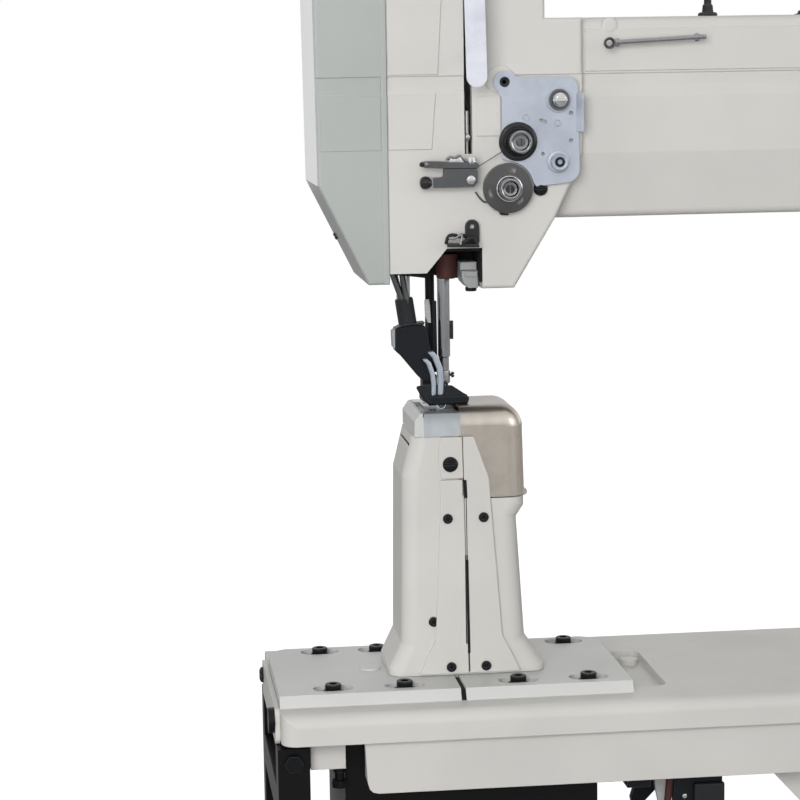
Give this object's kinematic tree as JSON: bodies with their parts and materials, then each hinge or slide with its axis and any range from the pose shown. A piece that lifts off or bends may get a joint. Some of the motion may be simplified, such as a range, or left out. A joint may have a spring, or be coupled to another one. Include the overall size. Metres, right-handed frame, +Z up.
{
  "type": "post-bed leather sewing machine",
  "caption": "Post-bed sewing machine for leather goods: tall narrow post with rotary hook, arm with needle, presser and walking foot, on an open steel stand.",
  "frame": {"origin": "centre of the footprint on the floor, under the middle of the overall length", "axes": "+X runs right along the arm towards the handwheel, +Y away from the sewer, +Z up"},
  "size_m": [0.5656, 0.21, 0.7069],
  "materials": {
    "stand": "black gloss enamel over square tube",
    "cream_paint": "cream gloss enamel with a faint orange peel",
    "cover_paint": "grey-green gloss enamel",
    "post_cover": "cream enamel on sheet steel",
    "plate_paint": "grey-white enamel",
    "dome": "satin champagne nickel",
    "slide_steel": "brushed blue-grey steel",
    "steel": "ground steel",
    "bright": "bright nickel plate",
    "black_oxide": "black oxide",
    "black_paint": "black enamel",
    "cast": "machined grey iron",
    "brass": "plain bronze bush",
    "zinc": "satin bluish zinc plate",
    "belt": "toothed rubber belt",
    "knob_black": "black moulded knob"
  },
  "bodies": {
    "machine": {"arm_casting": "cream_paint", "arm_covers": "cream_paint", "bearing_blocks": "cast", "bed_brackets": "cream_paint", "bed_casting": "cream_paint", "bed_plate_bolts": "black_oxide", "black_hardware": "black_oxide", "bobbin_case": "steel", "face_cover": "cover_paint", "left_bed_plate": "plate_paint", "needle_plate": "slide_steel", "pivot_pins": "steel", "post_casting": "cream_paint", "post_covers": "post_cover", "post_screws": "black_oxide", "post_top_block": "plate_paint", "right_bed_plate": "plate_paint", "shaft_bushes": "brass", "slide_plates": "slide_steel", "stand_legs": "stand", "stand_rails": "stand", "take_up_guard": "zinc", "tension_plate": "zinc", "tension_studs": "black_oxide", "thread_guides": "bright", "timing_belt": "belt", "underbed_guard": "black_paint", "winder_base": "plate_paint"},
    "drive_shaft": {"main_shaft": "steel", "crank_disc": "cast", "handwheel": "black_paint"},
    "under_shaft": {"lower_shaft": "steel"},
    "hook": {"hook_shaft": "steel", "rotary_hook": "steel"},
    "bobbin": {"bobbin": "bright"},
    "needle_frame": {"needle_bar_frame": "cast"},
    "needle_bar": {"needle_bar": "bright", "needle_bar_link": "steel", "needle": "bright"},
    "take_up": {"take_up_lever": "bright"},
    "presser": {"presser_bar": "bright", "presser_foot_block": "black_oxide", "presser_foot_arms": "steel", "presser_foot": "black_oxide"},
    "inner_foot": {"vibrating_foot": "black_oxide"},
    "feed_bar": {"feed_bar": "steel"},
    "feed_dog": {"feed_dog": "steel"},
    "feed_rock": {"feed_rock_shaft": "steel"},
    "knee_lift": {"knee_lift_lever": "black_oxide"},
    "hook_cover": {"hook_cover": "dome"},
    "hand_lifter": {"hand_lifter": "black_oxide"},
    "pressure_knob": {"pressure_knob": "knob_black"},
    "pretension_knob": {"pretension_knob": "bright"},
    "tension_nut": {"tension_nut": "bright"},
    "main_tension": {"main_tension": "bright"},
    "check_spring": {"check_spring": "steel"},
    "stitch_dial": {"stitch_dial": "knob_black"},
    "reverse_lever": {"reverse_lever": "knob_black"},
    "winder_spindle": {"winder_spindle": "steel"},
    "winder_latch": {"winder_latch": "steel"}
  },
  "joints": [
    {"name": "shaft_turn", "type": "hinge", "parent": "machine", "child": "drive_shaft", "pos_m": [0.04875, 0, 0.5909], "axis": [1, 0, 0], "continuous": true},
    {"name": "lower_shaft_turn", "type": "hinge", "parent": "machine", "child": "under_shaft", "pos_m": [0.04875, 0, 0.1769], "axis": [1, 0, 0], "continuous": true},
    {"name": "hook_turn", "type": "hinge", "parent": "machine", "child": "hook", "pos_m": [-0.12925, 0, 0.3189], "axis": [0, 0, 1], "continuous": true},
    {"name": "bobbin_turn", "type": "hinge", "parent": "machine", "child": "bobbin", "pos_m": [-0.12925, 0, 0.3789], "axis": [0, 0, 1], "continuous": true},
    {"name": "frame_rock", "type": "hinge", "parent": "machine", "child": "needle_frame", "pos_m": [-0.16525, 0, 0.6729], "axis": [1, 0, 0], "range_deg": [-0.6, 0.6]},
    {"name": "needle_bar_slide", "type": "slide", "parent": "needle_frame", "child": "needle_bar", "axis": [0, 0, 1], "range_m": [0, 0.033]},
    {"name": "take_up_swing", "type": "hinge", "parent": "machine", "child": "take_up", "pos_m": [-0.14225, 0.012, 0.6369], "axis": [-1, 0, 0], "range_deg": [0, 38]},
    {"name": "presser_lift", "type": "slide", "parent": "machine", "child": "presser", "axis": [0, 0, 1], "range_m": [0, 0.008]},
    {"name": "inner_foot_lift", "type": "slide", "parent": "needle_frame", "child": "inner_foot", "axis": [0, 0, 1], "range_m": [0, 0.008]},
    {"name": "feed_travel", "type": "slide", "parent": "machine", "child": "feed_bar", "axis": [0, 1, 0], "range_m": [-0.003, 0.003]},
    {"name": "dog_lift", "type": "slide", "parent": "feed_bar", "child": "feed_dog", "axis": [0, 0, 1], "range_m": [0, 0.001]},
    {"name": "feed_rock_swing", "type": "hinge", "parent": "machine", "child": "feed_rock", "pos_m": [-0.15125, 0, 0.1389], "axis": [1, 0, 0], "range_deg": [-4.7, 4.7]},
    {"name": "knee_turn", "type": "hinge", "parent": "machine", "child": "knee_lift", "pos_m": [0.00075, -0.034, 0.1629], "axis": [0, 1, 0], "range_deg": [0, 15]},
    {"name": "hook_cover_slide", "type": "slide", "parent": "machine", "child": "hook_cover", "axis": [1, 0, 0], "range_m": [0, 0.05]},
    {"name": "hand_lifter_swing", "type": "hinge", "parent": "machine", "child": "hand_lifter", "pos_m": [-0.17125, 0.05, 0.5389], "axis": [0, -1, 0], "range_deg": [0, 70]},
    {"name": "pressure_knob_turn", "type": "hinge", "parent": "machine", "child": "pressure_knob", "pos_m": [-0.17725, 0, 0.6989], "axis": [0, 0, 1], "range_deg": [-180, 180]},
    {"name": "pretension_turn", "type": "hinge", "parent": "machine", "child": "pretension_knob", "pos_m": [-0.08665, -0.06, 0.593], "axis": [0, 1, 0], "range_deg": [-180, 180]},
    {"name": "tension_nut_turn", "type": "hinge", "parent": "machine", "child": "tension_nut", "pos_m": [-0.11075, -0.063, 0.5677], "axis": [0, 1, 0], "range_deg": [-180, 180]},
    {"name": "main_tension_turn", "type": "hinge", "parent": "machine", "child": "main_tension", "pos_m": [-0.11875, -0.06, 0.5392], "axis": [0, 1, 0], "continuous": true},
    {"name": "check_spring_swing", "type": "hinge", "parent": "machine", "child": "check_spring", "pos_m": [-0.11875, -0.051, 0.5392], "axis": [0, 1, 0], "range_deg": [-35, 0], "stiffness_Nm_per_rad": 0.02, "springref_deg": 17.19},
    {"name": "stitch_dial_turn", "type": "hinge", "parent": "machine", "child": "stitch_dial", "pos_m": [0.18375, -0.06, 0.4149], "axis": [0, 1, 0], "range_deg": [0, 300]},
    {"name": "reverse_lever_swing", "type": "hinge", "parent": "machine", "child": "reverse_lever", "pos_m": [0.18375, -0.06, 0.3149], "axis": [0, 1, 0], "range_deg": [-25, 0], "stiffness_Nm_per_rad": 0.5, "springref_deg": 34.38},
    {"name": "winder_turn", "type": "hinge", "parent": "machine", "child": "winder_spindle", "pos_m": [0.20475, -0.008, 0.6869], "axis": [1, 0, 0], "continuous": true},
    {"name": "winder_latch_swing", "type": "hinge", "parent": "machine", "child": "winder_latch", "pos_m": [0.17675, 0.02, 0.6599], "axis": [1, 0, 0], "range_deg": [0, 22]}
  ],
  "couplings": [
    {"joint": "lower_shaft_turn", "follows": "shaft_turn", "ratio": 1},
    {"joint": "hook_turn", "follows": "shaft_turn", "ratio": -2},
    {"joint": "take_up_swing", "follows": "needle_bar_slide", "rad_per_m": 20},
    {"joint": "knee_turn", "follows": "presser_lift", "rad_per_m": 32.5},
    {"joint": "feed_travel", "follows": "frame_rock", "m_per_rad": 0.278},
    {"joint": "feed_rock_swing", "follows": "frame_rock", "ratio": -7.722}
  ]
}
